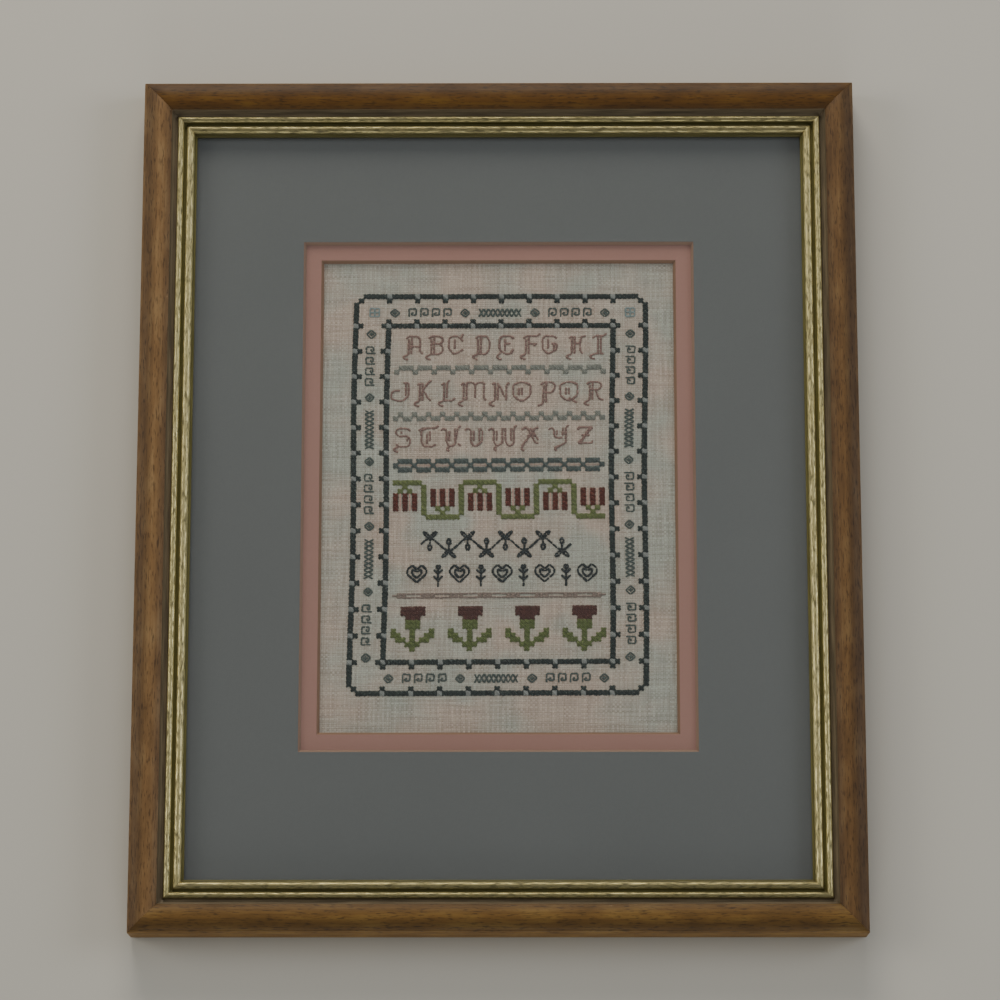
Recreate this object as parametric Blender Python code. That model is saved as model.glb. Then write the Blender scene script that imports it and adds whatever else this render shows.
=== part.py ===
"""Framed cross stitch sampler, lying on its back, face up.

Metres, +Z up. The picture's top points to +Y. The origin is the middle of the
frame's back, where it rests.
"""

from math import cos, radians, sin

import bmesh
import bpy
from mathutils import Matrix, Vector

MM = 0.001

# Frame, outside size, and the moulding's face from its outer to its sight edge
FRAME_WIDTH = 278.0 * MM
FRAME_HEIGHT = 334.0 * MM
FACE_WIDTH = 20.6 * MM
JOINT_GAP = 0.3 * MM

# Moulding section: across is measured from the outer edge, up from the back
SIDE_HEIGHT = 15.4 * MM
BACK_CHAMFER = 0.5 * MM
SHOULDER_RADIUS = 1.4 * MM
SHOULDER_ENDS_AT = 98.0  # degrees
SWELL_CREST = (5.6 * MM, 18.0 * MM)
SWELL_RADIUS = 8.7 * MM
SWELL_FROM = 1.25 * MM
SWELL_TO = 10.9 * MM
COVE_CENTRE = (13.5 * MM, 15.4 * MM)
COVE_RADIUS = 2.3 * MM
COVE_FROM, COVE_TO = 190.0, 268.0  # degrees
NARROW_BEAD = (14.5 * MM, 13.2 * MM)
NARROW_BEAD_RADIUS = 1.0 * MM
GROOVE = ((15.65 * MM, 12.2 * MM), (16.7 * MM, 12.0 * MM))
WIDE_BEAD = (18.35 * MM, 11.9 * MM)
WIDE_BEAD_RADII = (1.45 * MM, 1.4 * MM)
LIP_TOP = 11.2 * MM
LIP_ROUND = 0.5 * MM

# Rebate behind the sight edge, which holds the glass, the boards and the cloth
REBATE_FROM_EDGE = 14.8 * MM
REBATE_DEPTH = 10.1 * MM
REBATE_CLEARANCE = 0.8 * MM

# What lies in the rebate, from the back upwards
STACK_START = 0.6 * MM
STACK_GAP = 0.3 * MM
BACKING_THICKNESS = 2.2 * MM
LINEN_THICKNESS = 1.0 * MM
MAT_THICKNESS = 1.4 * MM
GLASS_THICKNESS = 2.0 * MM

# Windows cut in the two mats, at their front faces, and how far above the middle
OUTER_WINDOW = (152.4 * MM, 201.6 * MM)
MAT_REVEAL = 6.6 * MM
WINDOW_RISE = 3.4 * MM
CUT_PAST = 1.0 * MM


def clear_scene():
    for old in list(bpy.data.objects):
        bpy.data.objects.remove(old, do_unlink=True)


def new_collection(name):
    collection = bpy.data.collections.new(name)
    bpy.context.scene.collection.children.link(collection)
    return collection


def make_material(name, color, roughness, metallic=0.0, alpha=1.0):
    material = bpy.data.materials.new(name)
    material.use_nodes = True
    shader = material.node_tree.nodes["Principled BSDF"]
    shader.inputs["Base Color"].default_value = (*color, 1.0)
    shader.inputs["Roughness"].default_value = roughness
    shader.inputs["Metallic"].default_value = metallic
    shader.inputs["Alpha"].default_value = alpha
    return material


def add_object(name, mesh, material, collection):
    obj = bpy.data.objects.new(name, mesh)
    mesh.materials.append(material)
    collection.objects.link(obj)
    return obj


def arc(centre, radii, start, end, steps):
    """Points on an ellipse's arc, from one angle to another in degrees."""
    points = []
    for step in range(steps + 1):
        angle = radians(start + (end - start) * step / steps)
        points.append((centre[0] + radii[0] * cos(angle), centre[1] + radii[1] * sin(angle)))
    return points


def swell(steps):
    """The broad convex face: a circle's arc through the crest."""
    points = []
    for step in range(steps + 1):
        across = SWELL_FROM + (SWELL_TO - SWELL_FROM) * step / steps
        drop = SWELL_RADIUS - (SWELL_RADIUS**2 - (across - SWELL_CREST[0]) ** 2) ** 0.5
        points.append((across, SWELL_CREST[1] - drop))
    return points


def moulding_section():
    """The moulding's outline, from the back of the outer side round to the rebate."""
    shoulder_centre = (SHOULDER_RADIUS, SIDE_HEIGHT)
    shoulder_radii = (SHOULDER_RADIUS, SHOULDER_RADIUS)
    cove_radii = (COVE_RADIUS, COVE_RADIUS)
    bead_radii = (NARROW_BEAD_RADIUS, NARROW_BEAD_RADIUS)
    lip_centre = (FACE_WIDTH - LIP_ROUND, LIP_TOP - LIP_ROUND)
    points = [(BACK_CHAMFER, 0.0), (0.0, BACK_CHAMFER)]
    points += arc(shoulder_centre, shoulder_radii, 180.0, SHOULDER_ENDS_AT, 6)
    points += swell(16)
    points += arc(COVE_CENTRE, cove_radii, COVE_FROM, COVE_TO, 6)
    points += arc(NARROW_BEAD, bead_radii, 180.0, 0.0, 10)
    points += GROOVE
    points += arc(WIDE_BEAD, WIDE_BEAD_RADII, 180.0, 0.0, 12)
    points += arc(lip_centre, (LIP_ROUND, LIP_ROUND), 90.0, 0.0, 3)
    points += [(FACE_WIDTH, REBATE_DEPTH), (REBATE_FROM_EDGE, REBATE_DEPTH), (REBATE_FROM_EDGE, 0.0)]
    return points


def mitred_rail(name, length, offset, turn, material, collection):
    """One length of moulding along X, extruded from its section and cut at 45 degrees."""
    mesh_tool = bmesh.new()
    start = -length / 2
    ring = [mesh_tool.verts.new((start, across, up)) for across, up in moulding_section()]
    section = mesh_tool.faces.new(ring)
    extruded = bmesh.ops.extrude_face_region(mesh_tool, geom=[section])
    far = [item for item in extruded["geom"] if isinstance(item, bmesh.types.BMVert)]
    bmesh.ops.translate(mesh_tool, verts=far, vec=(length, 0.0, 0.0))
    back_off = JOINT_GAP / 2 * 2**0.5
    for vert in mesh_tool.verts:
        inward = 1.0 if vert.co.x < 0 else -1.0
        vert.co.x += inward * (vert.co.y + back_off)
    bmesh.ops.recalc_face_normals(mesh_tool, faces=mesh_tool.faces)
    place = Matrix.Rotation(radians(turn), 4, "Z") @ Matrix.Translation((0.0, -offset, 0.0))
    mesh = bpy.data.meshes.new(name)
    mesh_tool.to_mesh(mesh)
    mesh_tool.free()
    mesh.shade_smooth()
    mesh.set_sharp_from_angle(angle=radians(35.0))
    rail = add_object(name, mesh, material, collection)
    rail.matrix_world = place
    return rail


def flat_box(name, size, centre, low, thickness, flare=0.0):
    """A closed slab's mesh, its upper face larger by flare on every side."""
    mesh_tool = bmesh.new()
    bmesh.ops.create_cube(mesh_tool, size=1.0)
    for vert in mesh_tool.verts:
        grow = flare if vert.co.z > 0 else 0.0
        side = Vector((1.0 if vert.co.x > 0 else -1.0, 1.0 if vert.co.y > 0 else -1.0))
        vert.co.x = centre[0] + side.x * (size[0] / 2 + grow)
        vert.co.y = centre[1] + side.y * (size[1] / 2 + grow)
        vert.co.z = low + (thickness if vert.co.z > 0 else 0.0)
    mesh = bpy.data.meshes.new(name)
    mesh_tool.to_mesh(mesh)
    mesh_tool.free()
    return mesh


def cut_window(board, window, low, thickness, cutters):
    """A window with its edge cut at 45 degrees, widest at the board's front."""
    base = low - CUT_PAST
    depth = thickness + 2 * CUT_PAST
    at_base = [side - 2 * (thickness + CUT_PAST) for side in window]
    name = board.name + "_window"
    mesh = flat_box(name, at_base, (0.0, WINDOW_RISE), base, depth, flare=depth)
    cutter = bpy.data.objects.new(name, mesh)
    cutters.objects.link(cutter)
    cutter.hide_render = True
    cutter.display_type = "WIRE"
    cut = board.modifiers.new("window", "BOOLEAN")
    cut.object = cutter
    cut.operation = "DIFFERENCE"
    cut.solver = "EXACT"


def build_frame(collection):
    walnut = make_material("walnut_stained_moulding", (0.10, 0.05, 0.028), 0.35)
    long_side = FRAME_HEIGHT
    short_side = FRAME_WIDTH
    rails = (
        ("rail_bottom", short_side, long_side / 2, 0.0),
        ("rail_right", long_side, short_side / 2, 90.0),
        ("rail_top", short_side, long_side / 2, 180.0),
        ("rail_left", long_side, short_side / 2, 270.0),
    )
    for name, length, offset, turn in rails:
        mitred_rail(name, length, offset, turn, walnut.copy(), collection)
    bpy.data.materials.remove(walnut)


def build_contents(collection, cutters):
    """Backing board, cloth, two window mats and glass, each a little apart."""
    inset = REBATE_FROM_EDGE + REBATE_CLEARANCE
    sheet = (FRAME_WIDTH - 2 * inset, FRAME_HEIGHT - 2 * inset)
    inner_window = [side - 2 * MAT_REVEAL for side in OUTER_WINDOW]
    layers = (
        ("backing_board", BACKING_THICKNESS, None, make_material("hardboard", (0.16, 0.10, 0.06), 0.8)),
        ("linen", LINEN_THICKNESS, None, make_material("evenweave_linen", (0.42, 0.38, 0.30), 0.9)),
        ("mat_inner", MAT_THICKNESS, inner_window, make_material("pink_mat_board", (0.31, 0.17, 0.14), 0.9)),
        ("mat_outer", MAT_THICKNESS, OUTER_WINDOW, make_material("grey_mat_board", (0.11, 0.11, 0.11), 0.9)),
        ("glazing", GLASS_THICKNESS, None, make_material("window_glass", (0.9, 0.95, 0.92), 0.02, alpha=0.15)),
    )
    low = STACK_START
    for name, thickness, window, material in layers:
        mesh = flat_box(name, sheet, (0.0, 0.0), low, thickness)
        board = add_object(name, mesh, material, collection)
        if window:
            cut_window(board, window, low, thickness, cutters)
        low += thickness + STACK_GAP


def main():
    clear_scene()
    part = new_collection("framed_sampler")
    cutters = new_collection("cutters")
    build_frame(part)
    build_contents(part, cutters)


main()
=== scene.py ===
from math import cos, pi, radians, sin

import bpy
import numpy as np
from mathutils import Matrix, Vector


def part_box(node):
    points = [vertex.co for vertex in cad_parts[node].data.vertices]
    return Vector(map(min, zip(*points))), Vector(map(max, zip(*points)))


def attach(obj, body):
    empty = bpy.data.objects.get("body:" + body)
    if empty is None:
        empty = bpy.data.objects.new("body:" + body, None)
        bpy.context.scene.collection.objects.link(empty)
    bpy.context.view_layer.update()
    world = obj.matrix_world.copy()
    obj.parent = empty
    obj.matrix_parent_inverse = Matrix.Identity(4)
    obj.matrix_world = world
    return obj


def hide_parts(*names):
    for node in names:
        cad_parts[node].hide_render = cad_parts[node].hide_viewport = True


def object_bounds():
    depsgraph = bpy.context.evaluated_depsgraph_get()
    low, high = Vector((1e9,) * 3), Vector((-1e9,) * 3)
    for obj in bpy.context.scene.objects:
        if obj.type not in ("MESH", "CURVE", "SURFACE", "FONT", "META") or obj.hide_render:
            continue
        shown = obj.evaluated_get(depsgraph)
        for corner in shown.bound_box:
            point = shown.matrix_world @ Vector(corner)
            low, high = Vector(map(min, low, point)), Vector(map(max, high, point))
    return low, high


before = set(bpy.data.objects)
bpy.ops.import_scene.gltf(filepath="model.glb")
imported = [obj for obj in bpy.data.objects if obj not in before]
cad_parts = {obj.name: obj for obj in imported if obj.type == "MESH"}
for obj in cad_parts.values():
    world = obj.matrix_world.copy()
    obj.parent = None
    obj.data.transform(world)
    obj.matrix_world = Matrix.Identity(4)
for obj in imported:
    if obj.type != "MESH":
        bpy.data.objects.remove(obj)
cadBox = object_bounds()
mm = 0.001


# sRGB hex to linear red, green, blue and 1
def hexColor(text):
    values = [int(text[i : i + 2], 16) / 255 for i in (1, 3, 5)]
    linear = [v / 12.92 if v <= 0.04045 else ((v + 0.055) / 1.055) ** 2.4 for v in values]
    return (*linear, 1.0)


# links or sets a node's inputs, each given by its name or number
def feed(node, inputs):
    for name, value in inputs.items():
        if isinstance(value, bpy.types.NodeSocket):
            node.id_data.links.new(value, node.inputs[name])
        else:
            node.inputs[name].default_value = value


# one node with its settings, what feeds its inputs, and a ramp's stops
def addNode(tree, kind, inputs=None, stops=(), **settings):
    node = tree.nodes.new(kind)
    for name, value in settings.items():
        setattr(node, name, value)
    feed(node, inputs or {})
    for number, (position, color) in enumerate(stops):
        elements = node.color_ramp.elements
        isEnd = number in (0, len(stops) - 1)
        element = elements[-1 if number else 0] if isEnd else elements.new(position)
        element.position = position
        element.color = color
    return node


# noise drawn out along X, by the length and width of its features in millimetres
def grainNoise(tree, place, size, settings):
    length, width = (side * mm for side in size)
    stretch = addNode(
        tree, "ShaderNodeMapping", {"Vector": place, "Scale": (1 / length, 1 / width, 1 / width)}
    )
    return addNode(tree, "ShaderNodeTexNoise", {"Vector": stretch.outputs[0], **settings}).outputs[0]


def newMaterial(name):
    material = bpy.data.materials.new(name)
    material.use_nodes = True
    shader = material.node_tree.nodes["Principled BSDF"]
    return material, material.node_tree, shader


def addPiece(name, mesh, *materials):
    obj = bpy.data.objects.new(name, mesh)
    for material in materials:
        mesh.materials.append(material)
    bpy.context.scene.collection.objects.link(obj)
    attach(obj, "root")
    return obj


# a skin over rows of points; rows and the points in a row can each close on themselves
def loftMesh(name, rows, closeRows=False, closeAcross=True, slots=None, capEnds=False):
    rows = np.asarray(rows, float)
    count, across = rows.shape[:2]
    faces, faceSlots = [], []
    for i in range(count if closeRows else count - 1):
        for j in range(across if closeAcross else across - 1):
            k, m = (i + 1) % count, (j + 1) % across
            faces.append((i * across + j, i * across + m, k * across + m, k * across + j))
            faceSlots.append(slots(i, j) if slots else 0)
    if capEnds:
        faces.append(tuple(range(across))[::-1])
        faces.append(tuple(range((count - 1) * across, count * across)))
        faceSlots += [slots(0, -1), slots(0, -1)] if slots else [0, 0]
    mesh = bpy.data.meshes.new(name)
    mesh.from_pydata(rows.reshape(-1, 3).tolist(), [], faces)
    mesh.polygons.foreach_set("material_index", faceSlots)
    mesh.update()
    return mesh


print("camera")
# the photo's view: the face leans back a little over 12 degrees from the lens
shot = {
    "azimuth": 1.67,
    "elevation": 77.3,
    "roll": -1.69,
    "distance": 1.4768,
    "aim": (0.00056, 0.0025, 0.0),
    "lens": 137.13,
    "sensor": 36.0,
}


def placeCamera():
    azimuth, elevation = radians(shot["azimuth"]), radians(shot["elevation"])
    back = Vector((sin(azimuth) * cos(elevation), -cos(azimuth) * cos(elevation), sin(elevation)))
    data = bpy.data.cameras.new("camera")
    data.lens = shot["lens"]
    data.sensor_width = shot["sensor"]
    camera = bpy.data.objects.new("camera", data)
    turn = back.to_track_quat("Z", "Y").to_matrix().to_4x4()
    roll = Matrix.Rotation(radians(shot["roll"]), 4, "Z")
    place = Vector(shot["aim"]) + back * shot["distance"]
    camera.matrix_world = Matrix.Translation(place) @ turn @ roll
    bpy.context.scene.collection.objects.link(camera)
    bpy.context.scene.camera = camera


placeCamera()


print("studio")
studio = {
    "floor": "#c6c4ba",
    "world": "#eceded",
    "worldStrength": 0.25,
    "floorReach": 4.0,
    "floorDrop": 0.0003,  # a hair under the frame, so that no two faces share a plane
    "key": {"place": (-0.15, 1.35, 0.72), "size": 0.9, "power": 16.0, "color": "#fff6ea"},
    "left": {"place": (-1.5, 0.2, 1.0), "size": 0.9, "power": 8.0, "color": "#fff9f0"},
    "right": {"place": (1.5, 0.2, 1.0), "size": 0.9, "power": 8.0, "color": "#f6f8ff"},
    "front": {"place": (0.1, -1.5, 0.35), "size": 1.0, "power": 9.0, "color": "#f8f4ee"},
}


def areaLight(name, place, size, power, color):
    data = bpy.data.lights.new(name, "AREA")
    data.shape = "DISK"
    data.size = size
    data.energy = power
    data.color = hexColor(color)[:3]
    # no lamp's own image shows in the pane, as when a glazed picture is photographed
    # through crossed polarising filters
    data.cycles.use_multiple_importance_sampling = False
    light = bpy.data.objects.new(name, data)
    light.location = place
    light.rotation_euler = Vector(place).to_track_quat("Z", "Y").to_euler()
    bpy.context.scene.collection.objects.link(light)


def makeStudio():
    for name in ("key", "left", "right", "front"):
        areaLight(name, **studio[name])
    world = bpy.data.worlds.new("studio")
    world.use_nodes = True
    background = world.node_tree.nodes["Background"]
    feed(background, {"Color": hexColor(studio["world"]), "Strength": studio["worldStrength"]})
    bpy.context.scene.world = world
    # painted table top: one plain pale tone, matt
    material, _, shader = newMaterial("mattPaintedTable")
    feed(shader, {"Base Color": hexColor(studio["floor"]), "Roughness": 0.85})
    reach, level = studio["floorReach"], -studio["floorDrop"]
    corners = [(x * reach, y * reach, level) for x, y in ((-1, -1), (1, -1), (1, 1), (-1, 1))]
    mesh = bpy.data.meshes.new("floor")
    mesh.from_pydata(corners, [], [(0, 1, 2, 3)])
    floor = bpy.data.objects.new("floor", mesh)
    mesh.materials.append(material)
    bpy.context.scene.collection.objects.link(floor)


makeStudio()


print("moulding")
# across is measured from the outer edge, up from the back, in millimetres; an arc is
# where it starts and ends, in degrees, and its number of steps
moulding = {
    "sideHeight": 15.4,
    "backChamfer": 0.6,
    "shoulderRadius": 1.4,
    "shoulderArc": (180, 98, 8),
    "swellCrest": (5.6, 18.0),
    "swellRadius": 8.7,
    "swellFrom": 1.25,
    "swellTo": 10.9,
    "swellSteps": 26,
    "coveCentre": (13.3, 15.4),
    "coveRadius": 2.2,
    "coveArc": (190, 258, 10),
    "narrowBead": (14.35, 13.8),
    "narrowBeadRadius": 1.2,
    "narrowBeadArc": (178, 2, 14),
    "groove": ((15.62, 12.75), (15.8, 12.45), (16.1, 12.35), (16.4, 12.38)),
    "wideBead": (18.05, 12.2),
    "wideBeadRadius": 1.6,
    "wideBeadArc": (172, 2, 16),
    "lipTop": 11.2,
    "lipRound": 0.5,
    "lipArc": (90, 0, 4),
    "faceWidth": 20.6,
    "rebateFromEdge": 14.8,
    "rebateDepth": 10.1,
    "jointGap": 0.04,
    "stations": 60,
    "arrisInset": 0.05,
    "arrisShare": 0.0008,
    "sharpAngle": 38,
}
woodSlot, darkSlot, giltSlot, groundSlot, rawSlot = range(5)


# points along an arc; the last one can start a strip with another finish
def arcPoints(centre, radius, arc, slot, after=None):
    start, end, steps = arc
    points = []
    for step in range(steps + 1):
        angle = radians(start + (end - start) * step / steps)
        finish = after if after is not None and step == steps else slot
        points.append((centre[0] + radius * cos(angle), centre[1] + radius * sin(angle), finish))
    return points


# the section's points, each with the finish of the strip that starts at it
def mouldingSection():
    m = moulding
    shoulder, swell, lip = m["shoulderRadius"], m["swellRadius"], m["lipRound"]
    points = [(m["backChamfer"], 0.0, woodSlot), (0.0, m["backChamfer"], woodSlot)]
    points += arcPoints((shoulder, m["sideHeight"]), shoulder, m["shoulderArc"], woodSlot)
    (crest, top), steps = m["swellCrest"], m["swellSteps"]
    for step in range(steps + 1):
        across = m["swellFrom"] + (m["swellTo"] - m["swellFrom"]) * step / steps
        drop = swell - (swell**2 - (across - crest) ** 2) ** 0.5
        points.append((across, top - drop, woodSlot if step < steps else darkSlot))
    points += arcPoints(m["coveCentre"], m["coveRadius"], m["coveArc"], darkSlot)
    points += arcPoints(m["narrowBead"], m["narrowBeadRadius"], m["narrowBeadArc"], giltSlot, groundSlot)
    points += [(across, up, groundSlot) for across, up in m["groove"]]
    points += arcPoints(m["wideBead"], m["wideBeadRadius"], m["wideBeadArc"], giltSlot, groundSlot)
    points += arcPoints((m["faceWidth"] - lip, m["lipTop"] - lip), lip, m["lipArc"], groundSlot)
    edge, depth = m["rebateFromEdge"], m["rebateDepth"]
    return points + [(m["faceWidth"], depth, rawSlot), (edge, depth, rawSlot), (edge, 0.0, rawSlot)]


# four mitred lengths; each is lofted along its own X, so that its grain runs with it
def makeRails(materials):
    size = [(high - low) / mm for low, high in zip(*cadBox)]
    section = mouldingSection()
    profile = np.array([(across, up) for across, up, slot in section])
    ahead, behind = np.roll(profile, -1, 0), np.roll(profile, 1, 0)
    along = ahead - behind
    normals = np.stack([-along[:, 1], along[:, 0]], 1) / np.linalg.norm(along, axis=1)[:, None]
    slots = [slot for across, up, slot in section]
    share = moulding["arrisShare"]
    for name, turn in (("bottom", 0), ("right", 90), ("top", 180), ("left", 270)):
        length, offset = (size[0], size[1] / 2) if turn % 180 == 0 else (size[1], size[0] / 2)
        stops = np.linspace(0, 1, moulding["stations"])
        stops = np.concatenate([[0, share], stops[1:-1], [1 - share, 1]])
        rows = []
        for stop in stops:
            inset = moulding["arrisInset"] if stop in (0, 1) else 0.0
            shape = profile - normals * inset
            half = length / 2 - shape[:, 0] - moulding["jointGap"]
            x = -half + 2 * half * stop
            rows.append(np.stack([x, shape[:, 0], shape[:, 1]], 1) * mm)
        mesh = loftMesh(
            "rail_" + name, rows, slots=lambda i, j: slots[j] if j >= 0 else rawSlot, capEnds=True
        )
        mesh.shade_smooth()
        mesh.set_sharp_from_angle(angle=radians(moulding["sharpAngle"]))
        rail = addPiece("moulding_" + name, mesh, *materials[name])
        place = Matrix.Translation((0, -offset * mm, 0))
        rail.matrix_world = Matrix.Rotation(radians(turn), 4, "Z") @ place
        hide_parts("rail_" + name)


# each length came from another board, and painted shade is laid on some of them: its tone (darker and
# warmer on the top and bottom rails as painted shade), how much of the painted face shade it takes, its
# leaf's tone (dimmed on the top and bottom rails as painted shade over the leaf's highlights), and the dark
# and light of the ground under the leaf (darker on the top rail as painted shade, and a little darker on
# the bottom rail)
railLooks = {
    "left": {"tone": "#ffffff", "paintedFaceShade": 1.0, "leaf": "#ffffff", "ground": ("#544f20", "#686232")},
    "right": {"tone": "#dcd8d2", "paintedFaceShade": 1.0, "leaf": "#ffffff", "ground": ("#544f20", "#686232")},
    "top": {"tone": "#c3b068", "paintedFaceShade": 0.9, "leaf": "#bcbcbc", "ground": ("#45411c", "#57522a")},
    "bottom": {"tone": "#e4dda8", "paintedFaceShade": 1.0, "leaf": "#bcbcbc", "ground": ("#4c4720", "#5f5a2e")},
}
# painted light and shade across the face: millimetres from the outer edge, and how much light is painted
# there; lighter on the side face and over the swell's inner slope, darker on the outer slope and toward the
# cove
paintedFaceShade = (
    (0.0, 0.95), (0.9, 0.62), (2.0, 0.55), (3.1, 0.54), (4.6, 0.68),
    (6.2, 0.97), (8.4, 0.9), (10.0, 0.7), (11.0, 0.6),
)


# ramin moulding, machined to shape, stained walnut and sealed with satin lacquer:
# soft mottled brown, faint streaks along the grain, short darker pores, a low sheen
def stainedWood(name, shift, tone, shadeAmount):
    look = {"dark": "#705433", "mid": "#80613c", "light": "#92754d", "pore": "#2b1a0c"}
    material, tree, shader = newMaterial(name)
    place = addNode(tree, "ShaderNodeTexCoord").outputs["Object"]
    spot = addNode(
        tree, "ShaderNodeVectorMath", {0: place, 1: (shift, 0.31 * shift, 0.0)}, operation="ADD"
    )
    blotches = grainNoise(tree, spot.outputs[0], (9.0, 3.0), {"Scale": 0.6, "Detail": 3.0})
    streaks = grainNoise(tree, spot.outputs[0], (25.0, 0.5), {"Scale": 0.6, "Detail": 5.0})
    flecks = grainNoise(tree, spot.outputs[0], (2.0, 0.3), {"Scale": 0.6, "Detail": 2.0})
    pores = addNode(
        tree,
        "ShaderNodeMapRange",
        {"Value": flecks, "From Min": 0.54, "From Max": 0.68, "To Min": 0.0, "To Max": 0.6},
    )
    part = addNode(tree, "ShaderNodeMath", {0: blotches, 1: 0.62}, operation="MULTIPLY")
    mixed = addNode(
        tree, "ShaderNodeMath", {0: streaks, 1: 0.38, 2: part.outputs[0]}, operation="MULTIPLY_ADD"
    )
    stops = [(at, hexColor(look[key])) for at, key in ((0.36, "dark"), (0.5, "mid"), (0.66, "light"))]
    ramp = addNode(tree, "ShaderNodeValToRGB", {"Fac": mixed.outputs[0]}, stops)
    grain = addNode(
        tree,
        "ShaderNodeMix",
        {0: pores.outputs[0], 6: ramp.outputs[0], 7: hexColor(look["pore"])},
        data_type="RGBA",
    )
    across = addNode(tree, "ShaderNodeSeparateXYZ", {0: place})
    # painted light and shade across the face, multiplied into the grain by the rail's share of it
    edge = addNode(
        tree,
        "ShaderNodeMapRange",
        {"Value": across.outputs[1], "From Min": 0.0, "From Max": paintedFaceShade[-1][0] * mm},
    )
    stops = [(at / paintedFaceShade[-1][0], (left, left, left, 1.0)) for at, left in paintedFaceShade]
    faceShadeRamp = addNode(tree, "ShaderNodeValToRGB", {"Fac": edge.outputs[0]}, stops)
    shadedGrain = addNode(
        tree,
        "ShaderNodeMix",
        {0: shadeAmount, 6: grain.outputs[2], 7: faceShadeRamp.outputs[0]},
        data_type="RGBA",
        blend_type="MULTIPLY",
    )
    # the board's tone; on the top and bottom rails it is darker and warmer as painted shade
    color = addNode(
        tree,
        "ShaderNodeMix",
        {0: 1.0, 6: shadedGrain.outputs[2], 7: hexColor(tone)},
        data_type="RGBA",
        blend_type="MULTIPLY",
    )
    rough = addNode(
        tree,
        "ShaderNodeMapRange",
        {"Value": mixed.outputs[0], "From Min": 0.3, "From Max": 0.8, "To Min": 0.62, "To Max": 0.5},
    )
    bump = addNode(
        tree,
        "ShaderNodeBump",
        {"Strength": 0.35, "Distance": 0.06 * mm, "Height": pores.outputs[0]},
        invert=True,
    )
    feed(shader, {"Base Color": color.outputs[2], "Roughness": rough.outputs[0], "Normal": bump.outputs[0]})
    feed(shader, {"IOR": 1.5, "Specular IOR Level": 0.3})
    return material


# the same wood in the places the cloth doesn't reach when the stain is wiped:
# a dull dark brown in the cove, and olive black paint under the gilding
def darkStain(name, dark, light):
    material, tree, shader = newMaterial(name)
    place = addNode(tree, "ShaderNodeTexCoord").outputs["Object"]
    streaks = grainNoise(tree, place, (16.67, 1.11), {"Scale": 1.0, "Detail": 4.0})
    stops = ((0.35, hexColor(dark)), (0.7, hexColor(light)))
    ramp = addNode(tree, "ShaderNodeValToRGB", {"Fac": streaks}, stops)
    feed(shader, {"Base Color": ramp.outputs[0], "Roughness": 0.6, "Specular IOR Level": 0.3})
    return material


# metal leaf laid over a dark olive ground and rubbed back by hand:
# pale gold with a streaky broken face, the ground showing in patches
def rubbedGilt(name, tone):
    look = {"pale": "#e3d9a4", "deep": "#c6b97b", "bare": "#3a3616"}
    material, tree, shader = newMaterial(name)
    place = addNode(tree, "ShaderNodeTexCoord").outputs["Object"]
    worn = grainNoise(tree, place, (2.5, 0.4), {"Scale": 0.7, "Detail": 5.0, "Roughness": 0.65})
    mask = addNode(
        tree,
        "ShaderNodeMapRange",
        {"Value": worn, "From Min": 0.47, "From Max": 0.6, "To Min": 0.0, "To Max": 0.8},
    )
    # the leaf's tone changes every 6 mm
    tint = addNode(tree, "ShaderNodeTexNoise", {"Vector": place, "Scale": 1 / (6.25 * mm), "Detail": 2.0})
    leaf = addNode(
        tree,
        "ShaderNodeMix",
        {0: tint.outputs[0], 6: hexColor(look["pale"]), 7: hexColor(look["deep"])},
        data_type="RGBA",
    )
    # the rail's leaf tone, dimmed on the top and bottom rails as painted shade over the leaf's highlights
    dimmedLeaf = addNode(
        tree,
        "ShaderNodeMix",
        {0: 1.0, 6: leaf.outputs[2], 7: hexColor(tone)},
        data_type="RGBA",
        blend_type="MULTIPLY",
    )
    color = addNode(
        tree,
        "ShaderNodeMix",
        {0: mask.outputs[0], 6: dimmedLeaf.outputs[2], 7: hexColor(look["bare"])},
        data_type="RGBA",
    )
    metal = addNode(
        tree,
        "ShaderNodeMapRange",
        {"Value": mask.outputs[0], "From Min": 0.0, "From Max": 0.8, "To Min": 0.95, "To Max": 0.3},
    )
    rough = addNode(
        tree,
        "ShaderNodeMapRange",
        {"Value": worn, "From Min": 0.3, "From Max": 0.7, "To Min": 0.34, "To Max": 0.6},
    )
    bump = addNode(
        tree,
        "ShaderNodeBump",
        {"Strength": 0.5, "Distance": 0.05 * mm, "Height": mask.outputs[0]},
        invert=True,
    )
    feed(shader, {"Base Color": color.outputs[2], "Metallic": metal.outputs[0]})
    feed(shader, {"Roughness": rough.outputs[0], "Normal": bump.outputs[0]})
    return material


# sawn wood, never finished: pale, dry, with saw marks across the grain
def rawWood():
    material, tree, shader = newMaterial("sawnRaminBack")
    place = addNode(tree, "ShaderNodeTexCoord").outputs["Object"]
    grain = grainNoise(tree, place, (22.2, 0.714), {"Scale": 1.0, "Detail": 4.0})
    stops = ((0.3, hexColor("#a58763")), (0.7, hexColor("#c9ad86")))
    ramp = addNode(tree, "ShaderNodeValToRGB", {"Fac": grain}, stops)
    # saw marks 2 mm apart; a wave texture's bands are a tenth of pi over its scale
    saw = addNode(
        tree,
        "ShaderNodeTexWave",
        {"Vector": place, "Scale": 0.1 * pi / (2.0 * mm), "Distortion": 2.0},
        bands_direction="X",
    )
    bump = addNode(
        tree, "ShaderNodeBump", {"Strength": 0.25, "Distance": 0.05 * mm, "Height": saw.outputs[1]}
    )
    feed(shader, {"Base Color": ramp.outputs[0], "Normal": bump.outputs[0], "Roughness": 0.8})
    return material


coveStain = darkStain("wipedStainInCove", "#574d3c", "#776a52")
sawnBack = rawWood()


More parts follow.
